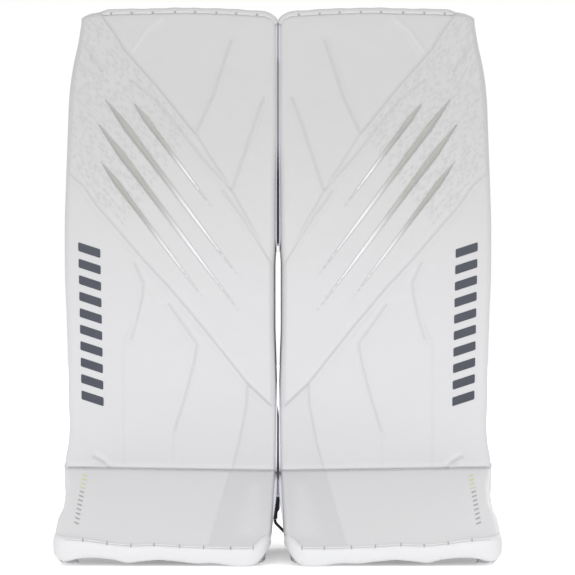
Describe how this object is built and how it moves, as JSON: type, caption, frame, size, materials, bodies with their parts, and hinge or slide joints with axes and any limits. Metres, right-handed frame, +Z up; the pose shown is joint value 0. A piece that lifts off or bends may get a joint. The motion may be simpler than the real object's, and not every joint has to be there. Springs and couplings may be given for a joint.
{
  "type": "goalie leg pads",
  "caption": "Matched ice hockey goalie leg pads with flat white faces, hinged boots, knee and calf blocks, outer wings and hook-and-loop straps.",
  "frame": {"origin": "on the floor, midway between the two pads and midway between the toes and the backs of the knee blocks", "axes": "+Z up along the shins, +X towards the right pad in the picture, -Y the way the white faces look"},
  "size_m": [0.565, 0.3356, 0.7141],
  "materials": {
    "jacket": "white coated synthetic leather, satin, fine grain",
    "rim": "white synthetic leather binding, satin",
    "foam": "closed-cell foam, matte",
    "plate": "polyethylene sheet, satin",
    "liner": "dark navy brushed nylon, matte",
    "strap": "white backed elastic strap with hook-and-loop end, matte",
    "webbing": "black woven nylon webbing, matte",
    "plastic": "black moulded nylon, satin",
    "tab": "black bridle leather, satin",
    "cord": "black braided elastic cord, matte"
  },
  "bodies": {
    "left_shin": {"left_shin_cover": "jacket", "left_face_foam": "foam", "left_shin_stiffener": "plate", "left_rear_foam": "foam", "left_back_panel": "liner", "left_top_binding": "rim", "left_knee_block_channel_layer": "jacket", "left_knee_block_middle_layer": "jacket", "left_knee_block_landing_layer": "liner", "left_knee_cradle": "liner", "left_shin_cushion": "liner", "left_calf_block": "jacket", "left_ankle_block": "jacket", "left_knee_strap_patch": "liner", "left_calf_strap_patch": "liner", "left_toe_clip": "plastic", "left_toe_cord": "cord"},
    "left_boot": {"left_boot_cover": "jacket", "left_boot_foam": "foam", "left_boot_liner": "liner", "left_toe_rim": "rim", "left_boot_outer_wall": "jacket", "left_boot_inner_wall": "jacket"},
    "left_toe_bridge": {"left_toe_bridge": "tab"},
    "left_knee_wing": {"left_knee_wing": "jacket"},
    "left_knee_strap": {"left_knee_strap": "strap"},
    "left_calf_wing": {"left_calf_wing": "jacket", "left_calf_wing_plate": "plastic"},
    "left_calf_strap": {"left_calf_strap": "strap"},
    "left_boot_strap": {"left_boot_strap": "webbing"},
    "left_keeper": {"left_boot_strap_keeper": "plastic"},
    "right_shin": {"right_shin_cover": "jacket", "right_face_foam": "foam", "right_shin_stiffener": "plate", "right_rear_foam": "foam", "right_back_panel": "liner", "right_top_binding": "rim", "right_knee_block_channel_layer": "jacket", "right_knee_block_middle_layer": "jacket", "right_knee_block_landing_layer": "liner", "right_knee_cradle": "liner", "right_shin_cushion": "liner", "right_calf_block": "jacket", "right_ankle_block": "jacket", "right_knee_strap_patch": "liner", "right_calf_strap_patch": "liner"},
    "right_boot": {"right_boot_cover": "jacket", "right_boot_foam": "foam", "right_boot_liner": "liner", "right_toe_rim": "rim", "right_boot_outer_wall": "jacket", "right_boot_inner_wall": "jacket"},
    "right_toe_bridge": {"right_toe_bridge": "tab"},
    "right_knee_wing": {"right_knee_wing": "jacket"},
    "right_knee_strap": {"right_knee_strap": "strap"},
    "right_calf_wing": {"right_calf_wing": "jacket", "right_calf_wing_plate": "plastic"},
    "right_calf_strap": {"right_calf_strap": "strap"},
    "right_boot_strap": {"right_boot_strap": "webbing"},
    "right_keeper": {"right_boot_strap_keeper": "plastic"}
  },
  "joints": [
    {"name": "left_boot_break", "type": "hinge", "parent": "left_shin", "child": "left_boot", "pos_m": [-0.1425, 0.0104, 0.094], "axis": [1, 0, 0], "range_deg": [-15, 10], "stiffness_Nm_per_rad": 60},
    {"name": "left_toe_bridge_flap", "type": "hinge", "parent": "left_boot", "child": "left_toe_bridge", "pos_m": [-0.1425, -0.1336, 0.0055], "axis": [1, 0, 0], "range_deg": [0, 20]},
    {"name": "left_knee_wing_flex", "type": "hinge", "parent": "left_shin", "child": "left_knee_wing", "pos_m": [-0.2545, 0.0395, 0.5], "axis": [0, 0, 1], "range_deg": [0, 40], "stiffness_Nm_per_rad": 1.5},
    {"name": "left_knee_strap_swing", "type": "hinge", "parent": "left_knee_wing", "child": "left_knee_strap", "pos_m": [-0.259, 0.1214, 0.495], "axis": [0, 0, 1], "range_deg": [0, 110]},
    {"name": "left_calf_wing_flex", "type": "hinge", "parent": "left_shin", "child": "left_calf_wing", "pos_m": [-0.2545, 0.0395, 0.304], "axis": [0, 0, 1], "range_deg": [0, 40], "stiffness_Nm_per_rad": 1.5},
    {"name": "left_calf_strap_swing", "type": "hinge", "parent": "left_calf_wing", "child": "left_calf_strap", "pos_m": [-0.2585, 0.1324, 0.302], "axis": [0, 0, 1], "range_deg": [0, 110]},
    {"name": "left_boot_strap_swing", "type": "hinge", "parent": "left_shin", "child": "left_boot_strap", "pos_m": [-0.273, 0.0406, 0.1705], "axis": [0, 0, 1], "range_deg": [0, 90]},
    {"name": "left_keeper_slide", "type": "slide", "parent": "left_boot_strap", "child": "left_keeper", "axis": [1, 0, 0], "range_m": [-0.02, 0.026]},
    {"name": "pads_apart", "type": "slide", "parent": "left_shin", "child": "right_shin", "axis": [1, 0, 0], "range_m": [0, 0.3]},
    {"name": "right_boot_break", "type": "hinge", "parent": "right_shin", "child": "right_boot", "pos_m": [0.1425, 0.0104, 0.094], "axis": [1, 0, 0], "range_deg": [-15, 10], "stiffness_Nm_per_rad": 60},
    {"name": "right_toe_bridge_flap", "type": "hinge", "parent": "right_boot", "child": "right_toe_bridge", "pos_m": [0.1425, -0.1336, 0.0055], "axis": [1, 0, 0], "range_deg": [0, 20]},
    {"name": "right_knee_wing_flex", "type": "hinge", "parent": "right_shin", "child": "right_knee_wing", "pos_m": [0.2545, 0.0395, 0.5], "axis": [0, 0, -1], "range_deg": [0, 40], "stiffness_Nm_per_rad": 1.5},
    {"name": "right_knee_strap_swing", "type": "hinge", "parent": "right_knee_wing", "child": "right_knee_strap", "pos_m": [0.259, 0.1214, 0.495], "axis": [0, 0, -1], "range_deg": [0, 110]},
    {"name": "right_calf_wing_flex", "type": "hinge", "parent": "right_shin", "child": "right_calf_wing", "pos_m": [0.2545, 0.0395, 0.304], "axis": [0, 0, -1], "range_deg": [0, 40], "stiffness_Nm_per_rad": 1.5},
    {"name": "right_calf_strap_swing", "type": "hinge", "parent": "right_calf_wing", "child": "right_calf_strap", "pos_m": [0.2585, 0.1324, 0.302], "axis": [0, 0, -1], "range_deg": [0, 110]},
    {"name": "right_boot_strap_swing", "type": "hinge", "parent": "right_shin", "child": "right_boot_strap", "pos_m": [0.273, 0.0406, 0.1705], "axis": [0, 0, -1], "range_deg": [0, 90]},
    {"name": "right_keeper_slide", "type": "slide", "parent": "right_boot_strap", "child": "right_keeper", "axis": [-1, 0, 0], "range_m": [-0.02, 0.026]}
  ]
}
